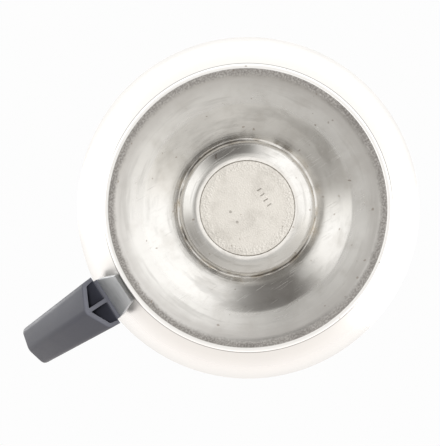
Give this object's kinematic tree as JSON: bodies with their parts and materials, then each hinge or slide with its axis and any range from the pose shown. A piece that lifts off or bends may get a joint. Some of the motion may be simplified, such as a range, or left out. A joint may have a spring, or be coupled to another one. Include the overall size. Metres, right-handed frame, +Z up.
{
  "type": "water-jacket melting pot",
  "caption": "Double-walled steel melting pot with a dished base and central boss, rolled brim, short moulded strap handle and a lift-off whistle on its filler neck.",
  "frame": {"origin": "centre of the flat disc under the pot, at hob level", "axes": "+Z up along the pot's axis, +X from the pot's axis towards the handle"},
  "size_m": [0.2148, 0.1706, 0.1091],
  "materials": {
    "polished_steel": "buffed bright with fine turning lines",
    "base_steel": "pressed bright, worn where it meets the hob",
    "satin_steel": "dull cross-brushed",
    "phenolic": "satin moulded",
    "silicone": "matte"
  },
  "bodies": {
    "pot": {"outer_shell": "polished_steel", "base_pan": "base_steel", "inner_pot": "polished_steel", "handle_strap": "satin_steel", "handle_grip": "phenolic", "grip_screw": "satin_steel", "screw_washer": "satin_steel", "filler_neck": "polished_steel"},
    "whistle": {"neck_seal": "silicone", "whistle_cup": "satin_steel", "whistle_disc": "satin_steel", "whistle_cap": "phenolic"}
  },
  "joints": [
    {"name": "whistle_lift", "type": "slide", "parent": "pot", "child": "whistle", "axis": [0.7071, 0, 0.7071], "range_m": [0, 0.03]}
  ]
}
